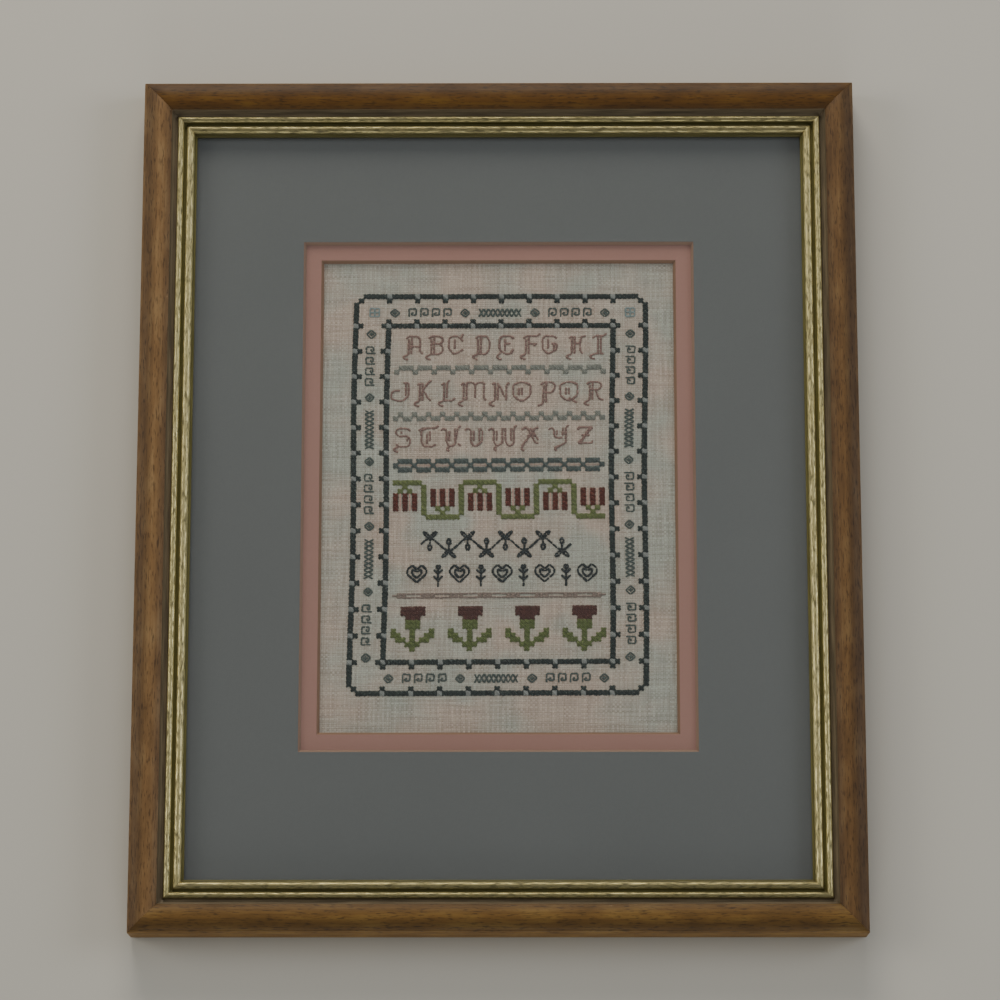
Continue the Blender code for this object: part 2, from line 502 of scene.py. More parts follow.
# a rail's finishes, in the order of their slots
def finishesFor(side, number):
    look = railLooks[side]
    wood = stainedWood("walnutStainedRamin_" + side, 1.7 * number, look["tone"], look["paintedFaceShade"])
    # the ground under the leaf; on the top rail it is darker as painted shade
    ground = darkStain("oliveGiltGround_" + side, *look["ground"])
    return wood, coveStain, rubbedGilt("rubbedGiltLeaf_" + side, look["leaf"]), ground, sawnBack


railFinishes = {side: finishesFor(side, number) for number, side in enumerate(railLooks)}
makeRails(railFinishes)


print("mats")
# sizes in millimetres; a window is measured at the board's front face
mats = {
    "outerWindow": (152.4, 201.6),
    "reveal": 6.95,
    "bevelRun": 0.7,
    "rise": 3.4,
    "burr": 0.05,
    "wobble": 0.05,
    "wobbleReach": 3,
    "pointsPerSide": 30,
}
paperSlot, coreSlot = range(2)


# points round a rectangle, a set number on each side
def rectanglePoints(half, centre, height, count):
    corners = [(-1, -1), (1, -1), (1, 1), (-1, 1)]
    points = []
    for number, start in enumerate(corners):
        end = corners[(number + 1) % 4]
        for step in range(count):
            part = step / count
            x = start[0] + (end[0] - start[0]) * part
            y = start[1] + (end[1] - start[1]) * part
            points.append((centre[0] + x * half[0], centre[1] + y * half[1], height))
    return np.array(points)


# a board with a bevelled window; the knife leaves a faint burr along the paper's edge
def windowMat(name, node, window, paper, core, seed):
    low, high = (np.array(corner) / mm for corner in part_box(node))
    thickness = high[2] - low[2]
    outerHalf = (high[:2] - low[:2]) / 2
    outerCentre = (high[:2] + low[:2]) / 2
    windowHalf = np.array(window) / 2
    windowCentre = np.array((0.0, mats["rise"]))
    count = mats["pointsPerSide"]
    top = high[2]
    run = thickness * mats["bevelRun"]
    # offset from the window's front edge, height
    steps = (
        (6.0, top),
        (1.2, top),
        (0.45, top + mats["burr"] * 0.6),
        (0.12, top + mats["burr"]),
        (0.0, top),
        (-0.06, top - 0.1),
        (-run + 0.05, low[2] + 0.07),
        (-run, low[2]),
    )
    rings = [rectanglePoints(outerHalf, outerCentre, top, count)]
    chance = np.random.default_rng(seed)
    wobble = np.cumsum(chance.normal(0, 1, (4 * count, 2)), 0)
    wobble -= np.linspace(0, 1, 4 * count)[:, None] * wobble[-1]
    wobble *= mats["wobble"] / np.abs(wobble).max()
    for offset, height in steps:
        ring = rectanglePoints(windowHalf + offset, windowCentre, height, count)
        ring[:, :2] += wobble * max(0.0, 1 - abs(offset) / mats["wobbleReach"])
        rings.append(ring)
    rings.append(rectanglePoints(outerHalf, outerCentre, low[2], count))
    paperRings = 5
    mesh = loftMesh(
        name,
        np.array(rings) * mm,
        closeRows=True,
        slots=lambda i, j: paperSlot if i < paperRings or i == len(rings) - 2 else coreSlot,
    )
    mesh.flip_normals()
    mat = addPiece(name, mesh, paper, core)
    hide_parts(node)
    return mat


# uncoated paper over a pulp core: soft even colour, faint flecks and tooth, no shine
def matPaper(name, color, fleck):
    material, tree, shader = newMaterial(name)
    place = addNode(tree, "ShaderNodeTexCoord").outputs["Object"]
    # fibre flecks 0.4 mm across, and clouds some 70 mm across
    fibre = addNode(tree, "ShaderNodeTexNoise", {"Vector": place, "Scale": 1 / (0.8 * mm), "Detail": 3.0})
    cloud = addNode(tree, "ShaderNodeTexNoise", {"Vector": place, "Scale": 1 / (71.4 * mm), "Detail": 2.0})
    mixed = addNode(
        tree, "ShaderNodeMath", {0: cloud.outputs[0], 1: 0.5, 2: -0.05}, operation="MULTIPLY_ADD"
    )
    total = addNode(
        tree,
        "ShaderNodeMath",
        {0: fibre.outputs[0], 1: 0.6, 2: mixed.outputs[0]},
        operation="MULTIPLY_ADD",
    )
    blend = addNode(
        tree,
        "ShaderNodeMix",
        {0: total.outputs[0], 6: hexColor(color), 7: hexColor(fleck)},
        data_type="RGBA",
    )
    bump = addNode(
        tree, "ShaderNodeBump", {"Strength": 0.15, "Distance": 0.04 * mm, "Height": fibre.outputs[0]}
    )
    feed(shader, {"Base Color": blend.outputs[2], "Normal": bump.outputs[0]})
    feed(shader, {"Roughness": 0.9, "Specular IOR Level": 0.3})
    return material


greyPaper = matPaper("slateGreyMatPaper", "#5d5f60", "#686a6b")
pinkPaper = matPaper("dustyPinkMatPaper", "#997167", "#a47c73")
greyCore = matPaper("buffPulpCore", "#846858", "#927564")
pinkCore = matPaper("brownPulpCore", "#7b5c47", "#886853")
outerMat = windowMat("mat_grey", "mat_outer", mats["outerWindow"], greyPaper, greyCore, 3)
innerSize = [side - 2 * mats["reveal"] for side in mats["outerWindow"]]
innerMat = windowMat("mat_pink", "mat_inner", innerSize, pinkPaper, pinkCore, 5)


print("linen")
# the chart's origin is the middle of its top left stitch; sizes in millimetres
cloth = {
    "left": -55.55,
    "top": 83.0,
    "stitch": (1.817, 1.7104),
    "columns": 63,
    "rows": 93,
    "thickness": 0.45,
    "cells": (124, 152),
    "pucker": 0.1,
    "heldEdge": 30.0,  # from the stretched edge to where the cloth lies freely
    "stainFade": 1.4,
}
threadsPerStitch = 2
# how the cloth was pulled out of square when it was stretched, in millimetres: how far it leans
# down the chart and how much less at the right, a sway of its upright lines (its length, start
# and slant are parts of the chart), and how its level lines bow and rise at the right
pull = {
    "lean": 1.4,
    "leanLess": 0.65,
    "sway": 0.33,
    "swayLength": 0.74,
    "swayStart": 0.26,
    "swaySlant": 0.2,
    "bow": 0.4,
    "bowMore": 0.7,
    "cornerRise": 0.4,
}


# where a point of the chart lies on the stretched cloth
def onCloth(column, row):
    u, v = column / (cloth["columns"] - 1), row / (cloth["rows"] - 1)
    phase = (v - pull["swayStart"] - pull["swaySlant"] * u) / pull["swayLength"]
    slip = -v * (pull["lean"] - pull["leanLess"] * u) - pull["sway"] * np.cos(2 * pi * phase)
    rise = (pull["bow"] + pull["bowMore"] * u) * np.sin(pi * np.clip(v, 0, 1))
    rise += pull["cornerRise"] * u * v * v
    x = cloth["left"] + column * cloth["stitch"][0] + slip
    y = cloth["top"] - row * cloth["stitch"][1] + rise
    return x, y


# long shallow waves, some 20, 57 and 76 mm from crest to crest
def clothHeight(x, y):
    wave = np.sin(x * 0.11 + 0.6) * np.sin(y * 0.083 + 1.1) + 0.5 * np.sin(x * 0.31 + y * 0.05)
    return wave * cloth["pucker"] - cloth["pucker"] * 1.6


# faint stains where dye has run and the cloth has aged: column, row and reach, in stitches
stains = {
    "cool": (
        (9, 42.5, 2.5), (17.8, 43, 2.2), (32.7, 42, 3.5), (41, 43, 2.5), (16.5, 53.5, 5), (9, 64.5, 4),
        (24, 53, 3), (50, 59, 5), (17.4, 76, 3), (22, 76.7, 3), (30.4, 73.2, 4), (44, 76.4, 2.5),
        (18.7, 90.6, 3), (24, 92.4, 3), (33, 85.6, 3), (49, 85.6, 3), (9.6, 84, 3), (2, 26, 4),
        (2, 38, 5), (23.5, 39.5, 3), (50, -4, 4), (-3, 40, 4), (60, 50, 4), (-4, 84, 4),
    ),
    "warm": (
        (13, 11, 5), (24, 12, 5), (35, 11, 5), (48, 12, 5), (13, 23, 5), (27, 23, 6), (39, 23, 5),
        (21, 32, 5), (34, 31, 5), (47, 32, 4), (9, 53, 3), (27, 54, 4), (51, 53, 3), (27, 67.7, 5),
        (9, 61, 3), (9, 72.5, 3), (15.5, 72.5, 3), (42.4, 74, 4), (41.5, 79.6, 4), (33, 79.6, 3),
        (23, -5, 7), (38, -4, 6), (20, 96, 8), (45, 97, 8), (64, 20, 5), (-4, 8, 5), (64, 78, 5),
    ),
}


# how warm (up to 1) or cool (down to -1) the cloth is at a point of the chart
def stainTone(column, row):
    tone = np.zeros_like(column)
    for sign, spots in ((-1, stains["cool"]), (1, stains["warm"])):
        for spotColumn, spotRow, reach in spots:
            away = ((column - spotColumn) ** 2 + (row - spotRow) ** 2) / reach**2
            tone += sign * np.exp(-cloth["stainFade"] * away)
    return np.clip(tone, -1, 1)


def makeLinen(material):
    low, high = (np.array(corner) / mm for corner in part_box("linen"))
    across, down = cloth["cells"]
    xs, ys = np.linspace(low[0], high[0], across), np.linspace(high[1], low[1], down)
    flatX, flatY = np.meshgrid(xs, ys)
    # each mesh point keeps its place on the chart, so that the weave leans as the stitches do
    column = (flatX - cloth["left"]) / cloth["stitch"][0]
    row = (cloth["top"] - flatY) / cloth["stitch"][1]
    shiftX, shiftY = onCloth(column, row)
    inside = np.clip(np.minimum(flatX - low[0], high[0] - flatX) / cloth["heldEdge"], 0, 1)
    inside *= np.clip(np.minimum(flatY - low[1], high[1] - flatY) / cloth["heldEdge"], 0, 1)
    x = flatX + (shiftX - flatX) * inside
    y = flatY + (shiftY - flatY) * inside
    z = high[2] + clothHeight(x, y) * inside
    rows = np.stack([x, y, z], 2) * mm
    mesh = loftMesh("linen", rows[:, ::-1], closeAcross=False)
    threads = mesh.uv_layers.new(name="threads")
    threadCount = threadsPerStitch * np.stack([column, -row], 2)[:, ::-1].reshape(-1, 2)
    corners = np.zeros(len(mesh.loops), int)
    mesh.loops.foreach_get("vertex_index", corners)
    threads.data.foreach_set("uv", threadCount[corners].ravel())
    tone = mesh.attributes.new("stain", "FLOAT", "POINT")
    tone.data.foreach_set("value", stainTone(column, row)[:, ::-1].ravel())
    mesh.shade_smooth()
    sheet = addPiece("linen_sheet", mesh, material)
    solid = sheet.modifiers.new("thickness", "SOLIDIFY")
    solid.thickness = cloth["thickness"] * mm
    solid.offset = -1.0
    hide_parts("linen")
    return sheet


# evenweave linen, flax spun unevenly and woven one over one, 28 threads to the inch:
# thick and thin threads, small dark holes between them, darkened with painted shade down the threads'
# flanks, slubs that run with the threads
def wovenLinen():
    look = {"dark": "#a69c90", "light": "#d7cfc3", "cool": "#b6d0d5", "warm": "#eccdc6", "hole": "#6b604c"}
    material, tree, shader = newMaterial("evenweaveLinen")
    uv = addNode(tree, "ShaderNodeUVMap", uv_map="threads").outputs[0]
    # threads wander by a fifth of their width over about 12 of them
    wander = addNode(tree, "ShaderNodeTexNoise", {"Vector": uv, "Scale": 0.16, "Detail": 2.0})
    centred = addNode(
        tree, "ShaderNodeVectorMath", {0: wander.outputs[1], 1: (0.5, 0.5, 0.5)}, operation="SUBTRACT"
    )
    moved = addNode(
        tree,
        "ShaderNodeVectorMath",
        {0: centred.outputs[0], 1: (0.9, 0.9, 0.0), 2: uv},
        operation="MULTIPLY_ADD",
    )
    parts = addNode(tree, "ShaderNodeSeparateXYZ", {0: moved.outputs[0]})
    rounds = []
    for axis in (0, 1):
        angle = addNode(tree, "ShaderNodeMath", {0: parts.outputs[axis], 1: pi}, operation="MULTIPLY")
        wave = addNode(tree, "ShaderNodeMath", {0: angle.outputs[0]}, operation="SINE")
        hump = addNode(tree, "ShaderNodeMath", {0: wave.outputs[0]}, operation="ABSOLUTE")
        rounds.append(hump.outputs[0])
    # the checker says which thread is on top in each crossing
    lifted = addNode(
        tree, "ShaderNodeVectorMath", {0: moved.outputs[0], 1: (0.0, 0.0, 0.5)}, operation="ADD"
    )
    over = addNode(tree, "ShaderNodeTexChecker", {"Vector": lifted.outputs[0], "Scale": 1.0})
    heights = []
    for across, length in ((rounds[0], rounds[1]), (rounds[1], rounds[0])):
        body = addNode(tree, "ShaderNodeMath", {0: across, 1: 0.55}, operation="POWER")
        arch = addNode(tree, "ShaderNodeMath", {0: length, 1: 0.5, 2: 0.5}, operation="MULTIPLY_ADD")
        thread = addNode(
            tree, "ShaderNodeMath", {0: body.outputs[0], 1: arch.outputs[0]}, operation="MULTIPLY"
        )
        heights.append(thread.outputs[0])
    height = addNode(
        tree, "ShaderNodeMix", {0: over.outputs["Fac"], 2: heights[0], 3: heights[1]}, data_type="FLOAT"
    )
    # one tone for each thread, drifting along it
    tones = []
    for scale in ((0.9, 0.05, 1.0), (0.05, 0.9, 1.0)):
        stretch = addNode(tree, "ShaderNodeMapping", {"Vector": uv, "Scale": scale})
        drift = addNode(
            tree, "ShaderNodeTexNoise", {"Vector": stretch.outputs[0], "Scale": 1.0, "Detail": 3.0}
        )
        tones.append(drift.outputs[0])
    tone = addNode(
        tree, "ShaderNodeMix", {0: over.outputs["Fac"], 2: tones[0], 3: tones[1]}, data_type="FLOAT"
    )
    stops = ((0.32, hexColor(look["dark"])), (0.68, hexColor(look["light"])))
    ramp = addNode(tree, "ShaderNodeValToRGB", {"Fac": tone.outputs[0]}, stops)
    # old cloth: warm and cool clouds some 25 mm wide, and the stains
    cloud = addNode(tree, "ShaderNodeTexNoise", {"Vector": uv, "Scale": 0.035, "Detail": 3.0})
    stain = addNode(tree, "ShaderNodeAttribute", attribute_name="stain").outputs["Fac"]
    hue = addNode(
        tree, "ShaderNodeMath", {0: stain, 1: 0.2, 2: cloud.outputs[0]}, operation="MULTIPLY_ADD"
    )
    stops = ((0.35, hexColor(look["cool"])), (0.65, hexColor(look["warm"])))
    hues = addNode(tree, "ShaderNodeValToRGB", {"Fac": hue.outputs[0]}, stops)
    aged = addNode(
        tree,
        "ShaderNodeMix",
        {0: 0.5, 6: ramp.outputs[0], 7: hues.outputs[0]},
        data_type="RGBA",
        blend_type="MULTIPLY",
    )
    # painted shade: the threads darken down their flanks towards the holes between them
    shade = addNode(
        tree,
        "ShaderNodeMapRange",
        {"Value": height.outputs[0], "From Min": 0.1, "From Max": 0.75, "To Min": 0.28, "To Max": 0.0},
    )
    color = addNode(
        tree,
        "ShaderNodeMix",
        {0: shade.outputs[0], 6: aged.outputs[2], 7: hexColor(look["hole"])},
        data_type="RGBA",
    )
    bump = addNode(
        tree, "ShaderNodeBump", {"Strength": 0.8, "Distance": 0.22 * mm, "Height": height.outputs[0]}
    )
    feed(shader, {"Base Color": color.outputs[2], "Normal": bump.outputs[0]})
    feed(shader, {"Roughness": 0.85, "Sheen Weight": 0.25, "Sheen Roughness": 0.5})
    return material


linenSheet = makeLinen(wovenLinen())


print("stitches")
# stranded cotton, sizes in millimetres: half of how wide and thick one strand lies,
# how far two spread from the leg's middle, how high each leg arches over the cloth;
# at a leg's ends its strands spread and swell by less, and a higher power squares the arch
floss = {
    "stations": 7,
    "sides": 5,
    "crossWidth": 0.32,
    "crossThick": 0.12,
    "crossSpread": 0.25,
    "crossReach": 0.54,
    "crossLift": 0.16,
    "overLift": 0.3,
    "lineWidth": 0.22,
    "lineThick": 0.15,
    "lineLift": 0.16,
    "sunk": 0.1,
    "endSpread": 0.75,
    "endSwell": 0.8,
    "archPower": 6,
    "unevenness": 0.1,
    "wander": 0.05,
}


# tubes from hole to hole: each strand rises out of the cloth, arches over and goes back in
def strandMesh(name, starts, ends, width, thick, lifts, spreads, seed):
    chance = np.random.default_rng(seed)
    starts = np.asarray(starts) + chance.normal(0, floss["wander"], (len(starts), 2))
    ends = np.asarray(ends) + chance.normal(0, floss["wander"], (len(ends), 2))
    count, stations, sides = len(starts), floss["stations"], floss["sides"]
    t = np.linspace(0, 1, stations)
    along = ends - starts
    length = np.linalg.norm(along, axis=1)[:, None]
    ahead = along / length
    beside = np.stack([-ahead[:, 1], ahead[:, 0]], 1)
    path = starts[:, None, :] + along[:, None, :] * t[None, :, None]
    bow = np.sin(pi * t)
    opening = floss["endSpread"] + (1 - floss["endSpread"]) * bow
    path = path + beside[:, None, :] * (spreads[:, None] * opening[None, :])[:, :, None]
    arch = 1 - (2 * t - 1) ** floss["archPower"]
    uneven = 1 + floss["unevenness"] * chance.normal(0, 1, (count, 1, 1))
    height = clothHeight(path[..., 0], path[..., 1]) + lifts[:, None] * arch[None, :] * uneven[:, :, 0]
    height -= floss["sunk"] * (1 - arch)[None, :]
    swell = floss["endSwell"] + (1 - floss["endSwell"]) * np.minimum(1, 3 * bow)
    turn = np.linspace(0, 2 * pi, sides, endpoint=False) + pi / 2
    side = width * swell[None, :, None] * np.cos(turn)[None, None, :] * uneven
    up = thick * swell[None, :, None] * np.sin(turn)[None, None, :] * uneven
    points = np.zeros((count, stations, sides, 3))
    points[..., :2] = path[:, :, None, :] + beside[:, None, None, :] * side[..., None]
    points[..., 2] = height[:, :, None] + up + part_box("linen")[1][2] / mm
    ring = np.arange(sides)
    strand = np.arange(count)[:, None, None] * stations * sides
    here = strand + np.arange(stations - 1)[None, :, None] * sides
    after = (ring + 1) % sides
    quads = np.stack([here + after, here + ring, here + sides + ring, here + sides + after], -1)
    last = (stations - 1) * sides
    caps = np.concatenate([strand[:, 0] + ring, strand[:, 0] + last + ring[::-1]])
    faces = quads.reshape(-1, 4).tolist() + caps.tolist()
    mesh = bpy.data.meshes.new(name)
    mesh.from_pydata((points.reshape(-1, 3) * mm).tolist(), [], faces)
    mesh.update()
    mesh.shade_smooth()
    return mesh


def finishStitches(name, mesh, material):
    piece = addPiece(name, mesh, material)


# each cell of the chart takes two crossed legs of two strands
def crossStitches(name, cells, material, seed):
    starts, ends, lifts, spreads = [], [], [], []
    for column, row in sorted(set(cells)):
        reach = floss["crossReach"]
        for side, lift in ((1, floss["crossLift"]), (-1, floss["overLift"])):
            for spread in (-1, 1):
                starts.append(onCloth(column - reach, row + side * reach))
                ends.append(onCloth(column + reach, row - side * reach))
                lifts.append(lift)
                spreads.append(spread * floss["crossSpread"])
    lifts, spreads = np.array(lifts), np.array(spreads)
    mesh = strandMesh(name, starts, ends, floss["crossWidth"], floss["crossThick"], lifts, spreads, seed)
    finishStitches(name, mesh, material)


# single strands between holes; a path's corners are counted in threads, two to a stitch
def backStitches(name, paths, material, seed, width=1.0):
    starts, ends = [], []
    for path in paths:
        for (x0, y0), (x1, y1) in zip(path, path[1:]):
            pieces = max(1, round(max(abs(x1 - x0), abs(y1 - y0)) / threadsPerStitch))
            for piece in range(pieces):
                for holes, part in ((starts, piece / pieces), (ends, (piece + 1) / pieces)):
                    x, y = x0 + (x1 - x0) * part, y0 + (y1 - y0) * part
                    holes.append(onCloth(x / threadsPerStitch, y / threadsPerStitch))
    count = len(starts)
    lifts = np.full(count, floss["lineLift"])
    mesh = strandMesh(
        name, starts, ends, floss["lineWidth"] * width, floss["lineThick"], lifts, np.zeros(count), seed
    )
    finishStitches(name, mesh, material)


# mercerised stranded cotton: combed, twisted and polished, so it has a low silky sheen
# and each strand picks up a slightly different tone of the dye
def strandedCotton(name, color, light):
    material, tree, shader = newMaterial(name)
    place = addNode(tree, "ShaderNodeTexCoord").outputs["Object"]
    # a new tone every couple of millimetres
    tone = addNode(tree, "ShaderNodeTexNoise", {"Vector": place, "Scale": 1 / (1.6 * mm), "Detail": 2.0})
    blend = addNode(
        tree,
        "ShaderNodeMix",
        {0: tone.outputs[0], 6: hexColor(color), 7: hexColor(light)},
        data_type="RGBA",
    )
    # the twist, 0.3 mm to a turn
    twist = addNode(tree, "ShaderNodeTexNoise", {"Vector": place, "Scale": 1 / (0.3 * mm), "Detail": 1.0})
    bump = addNode(
        tree, "ShaderNodeBump", {"Strength": 0.4, "Distance": 0.05 * mm, "Height": twist.outputs[0]}
    )
    feed(shader, {"Base Color": blend.outputs[2], "Normal": bump.outputs[0]})
    feed(shader, {"Roughness": 0.6, "Specular IOR Level": 0.25})
    return material


# each cotton's dark and light tone
cottons = {
    "teal": ("#0e1816", "#1c2927"),
    "chain": ("#3a4342", "#4e5856"),
    "sage": ("#6b6d66", "#7f807a"),
    "rose": ("#6e5550", "#896c64"),
    "green": ("#4f5832", "#67703f"),
    "leaf": ("#475129", "#5d6836"),
    "maroon": ("#3d1102", "#531b07"),
    "plum": ("#3a1b16", "#4c2821"),
    "pink": ("#b28c7f", "#caa699"),
    "mauve": ("#6f615a", "#84746b"),
    "ink": ("#38423f", "#4a5451"),
    "navy": ("#0b1315", "#192225"),
    "sky": ("#707e7f", "#829192"),
    "pearl": ("#7b7f7e", "#8d8f8c"),
}
threads = {key: strandedCotton("strandedCotton_" + key, *pair) for key, pair in cottons.items()}


def spanCells(columns, rows):
    return [(column, row) for column in columns for row in rows]


# the two rings of the border: bars of five, and a single stitch beside each gap,
# set inward on the outer ring and outward on the inner one. Each gap is filled with a pale stitch
borderRepeat = 6
borderRings = (
    {"box": (0, 0, 62, 92), "gap": 1, "step": 1},
    {"box": (7, 7, 55, 85), "gap": 0, "step": -1},
)


def borderCells():
    cells, pale = [], []
    for ring in borderRings:
        left, top, right, bottom = ring["box"]
        step = ring["step"]
        for column in range(left, right + 1):
            gap = (column - left) % borderRepeat == ring["gap"]
            cells += [(column, top + step * gap), (column, bottom - step * gap)]
            pale += [(column, top), (column, bottom)] * gap
        for row in range(top, bottom + 1):
            gap = (row - top) % borderRepeat == ring["gap"]
            cells += [(left + step * gap, row), (right - step * gap, row)]
            pale += [(left, row), (right, row)] * gap
    outer, inner = (ring["box"] for ring in borderRings)
    # the outer ring's corners are cut across, the inner ring's are left open
    cut = spanCells((outer[0], outer[2]), (outer[1], outer[3]))
    cut += spanCells((outer[0], outer[2]), (outer[1] + 1, outer[3] - 1))
    cut += spanCells((outer[0] + 1, outer[2] - 1), (outer[1], outer[3]))
    bare = cut + spanCells((inner[0], inner[2]), (inner[1], inner[3]))
    return [cell for cell in cells if cell not in bare], [cell for cell in pale if cell not in cut]


# bands between the alphabet's rows, and the chain and a narrow band below it: the columns they
# fill, the rows they lie on, and the narrow band's ends and lines in threads
bands = {
    "columns": (9, 53),
    "waves": (17, 29),
    "chain": 40,
    "narrowEnds": (17, 105),
    "narrowLines": (139.1, 139.9, 140.8),
}


def makeBands():
    bars, pale = borderCells()
    crossStitches("stitches_border", bars, threads["teal"], seed=11)
    crossStitches("stitches_border_gaps", pale, threads["pearl"], seed=25)
    first, last = bands["columns"]
    spans = [c for c in range(first + 1, last) if (c - first) % 4]
    posts = range(first, last + 1, 4)
    # first wave: bars of three, then one stitch low; second: bars of two, then one stitch high
    upper, lower = bands["waves"]
    waves = [(c, upper) for c in spans] + [(c, upper + 1) for c in posts]
    waves += [(c, lower) for c in range(first, last + 1) if (c - first - 1) % 3]
    waves += [(c, lower - 1) for c in range(first + 1, last + 1, 3)]
    crossStitches("stitches_waves", waves, threads["sage"], seed=12)
    middle = bands["chain"]
    chain = [(c, row) for row in (middle - 1, middle + 1) for c in spans] + [(c, middle) for c in posts]
    crossStitches("stitches_chain", chain, threads["chain"], seed=13)
    links = [[(2 * c - 1, 2 * middle), (2 * c + 1, 2 * middle)] for c in spans]
    backStitches("stitches_chain_links", links, threads["pink"], seed=19, width=0.45)
    # a narrow band: two lines, stitched together for three stitches and apart for three
    narrow = []
    begin, end = bands["narrowEnds"]
    above, between, below = bands["narrowLines"]
    for x in range(begin, end + 2, 2):
        high, low = (between, between) if x in (begin, end) else (above, below)
        narrow += [[(x, high), (x + 2, high)], [(x, low), (x + 2, low)]]
        if (x - begin - 5) % 12 > 5:
            narrow += [[(x, low), (x + 2, high)], [(x, high), (x + 2, low)]]
    backStitches("stitches_narrow_band", narrow, threads["mauve"], seed=20, width=1.7)


# a square meander with a flower in each bend, hanging and upright by turns: each bend's middle
# column, and the rows of its bar, stem, calyx and petals
bends = {
    "middles": range(11, 52, 8),
    "hanging": (44, 45, 46, range(47, 51)),
    "upright": (52, 51, 50, range(46, 50)),
}


def makeMeander():
    meander, flowers, filling = [], [], []
    first, last = bands["columns"]
    uprights = range(bends["hanging"][0] + 1, bends["upright"][0])
    for number, centre in enumerate(bends["middles"]):
        bar, stem, calyx, petals = bends["upright" if number % 2 else "hanging"]
        meander += [(c, bar) for c in range(max(first, centre - 3), min(last, centre + 3) + 1)]
        meander += [(centre, stem), (centre - 1, calyx), (centre + 1, calyx)]
        if centre < bends["middles"][-1]:
            meander += [(centre + 4, row) for row in uprights]
        flowers += spanCells((centre - 2, centre, centre + 2), petals)
        filling += spanCells((centre - 1, centre + 1), petals)
    crossStitches("stitches_meander", meander, threads["green"], seed=14)
    crossStitches("stitches_petals", flowers, threads["maroon"], seed=15)
    lines = [[(2 * c, 2 * r - 1), (2 * c, 2 * r + 1)] for c, r in filling]
    backStitches("stitches_petal_filling", lines, threads["pink"], seed=16, width=1.6)


# four thistles; offsets are from a thistle's middle column
thistles = {
    "middles": (13, 25, 37, 49),
    "head": ((2, (73, 74)), (1, (75,))),
    "cup": ((1, (76, 77, 81)), (0, (78, 79, 80, 82))),
    "leaves": ((4, (78, 79)), (3, (79, 80)), (2, (80,))),
}


def makeThistles():
    heads, greens = [], []
    for middle in thistles["middles"]:
        for cells, rows in ((heads, thistles["head"]), (greens, thistles["cup"])):
            for reach, at in rows:
                cells += spanCells(range(middle - reach, middle + reach + 1), at)
        for reach, at in thistles["leaves"]:
            greens += spanCells((middle - reach, middle + reach), at)
    crossStitches("stitches_thistle_heads", heads, threads["plum"], seed=17)
    crossStitches("stitches_thistle_leaves", greens, threads["leaf"], seed=18)


# capitals in double backstitch lines, eight threads tall with a curled foot: strokes are
# parted by spaces, and each pair of digits is a point's x and y, in threads (a is ten)
capitals = {
    "A": "12.21.51.62.67.78 31.38 22.28 25.65 28.09.1a.2a",
    "B": "12.21.51.62.63.54.24 54.65.67.58.28 22.28 31.38 28.09.1a.2a",
    "C": "63.52.41.21.12.16.27.38.57.66 32.36 52.60",
    "D": "12.21.51.63.66.58.28 22.28 31.38 28.09.1a.2a",
    "E": "62.51.21.12.16.27.38.58.66 32.37 34.54 27.09.1a.2a",
    "F": "70.61.21.12 22.28 31.38 34.64 54.55 28.09.1a.2a",
    "G": "62.51.21.12.16.27.38.57.66.64.44 32.36 54.57",
    "H": "12.21.22.28 31.38 34.54 71.61.52.57.68 28.09.1a.2a",
    "I": "12.21.51.60 31.38 41.48 28.58 28.09.1a.2a",
    "J": "41.61.66.48.28.07.05.14 51.56 34.14",
    "K": "12.21.22.28 31.38 60.51.34.45.57.68 28.09.1a.2a",
    "L": "12.21.22.28.58.67 31.37 31.40 28.09.1a.2a",
    "M": "12.21.22.28 31.38 31.51.62.67 62.71.91.92.97.a8 28.09.1a.2a",
    "N": "12.21.22.28 31.38 32.43.56.67 71.62.68 28.09.1a.2a",
    "O": "31.51.72.76.58.38.16.12.31 33.36 43.46",
    "P": "12.21.51.62.63.55.25 22.29 31.39 29.1a.0a",
    "Q": "31.51.72.76.58.38.16.12.31 33.36 43.46 47.58.79",
    "R": "12.21.51.62.63.54.24 44.57.68.78 22.28 31.38 28.09.1a.2a",
    "S": "62.51.21.12.13.24.54.65.67.58.28.17 32.33 55.56 28.09.1a.2a",
    "T": "02.11.61.70 31.12.16.28.58.67 42.46 33.37",
    "U": "02.11.22.26.38.48.57.61.70 51.56 32.36 67.78 38.29.3a",
    "V": "02.11.22.26.38.48.66.62.51 32.36 51.56",
    "W": "02.11.22.26.38.57.51 61.66.78.88.97.91.a0 32.36 81.86 38.29.3a",
    "X": "02.11.21.57.67 61.51.17.08 31.66 24.54 17.09.1a",
    "Y": "02.11.22.24.35.55 70.61.67.48.29.3a 32.34 51.54",
    "Z": "12.11.61.17.67.66 51.27 24.54",
}
# where each row's letters start, in threads from the chart's origin
alphabetRows = (
    {"top": 17.8, "letters": "ABCDEFGHI", "starts": (20.4, 30, 38.8, 50, 60.3, 70.4, 78.7, 90, 100)},
    {"top": 39.9, "letters": "JKLMNOPQR", "starts": (16, 25.6, 36, 44.4, 57.7, 66.7, 78.3, 86.7, 98)},
    {"top": 61.4, "letters": "STUVWXYZ", "starts": (16.9, 27.8, 37.3, 47.7, 57.5, 71.7, 83.2, 94.6)},
)
letterScale = 1.22


def glyphPaths(glyph, x0, y0, scale=1.0):
    return [
        [(x0 + int(point[0], 36) * scale, y0 + int(point[1], 36) * scale) for point in stroke.split(".")]
        for stroke in glyph.split(" ")
    ]


def makeAlphabet():
    paths = []
    for row in alphabetRows:
        for letter, start in zip(row["letters"], row["starts"]):
            paths += glyphPaths(capitals[letter], start, row["top"], letterScale)
    backStitches("stitches_alphabet", paths, threads["rose"], seed=21, width=1.9)


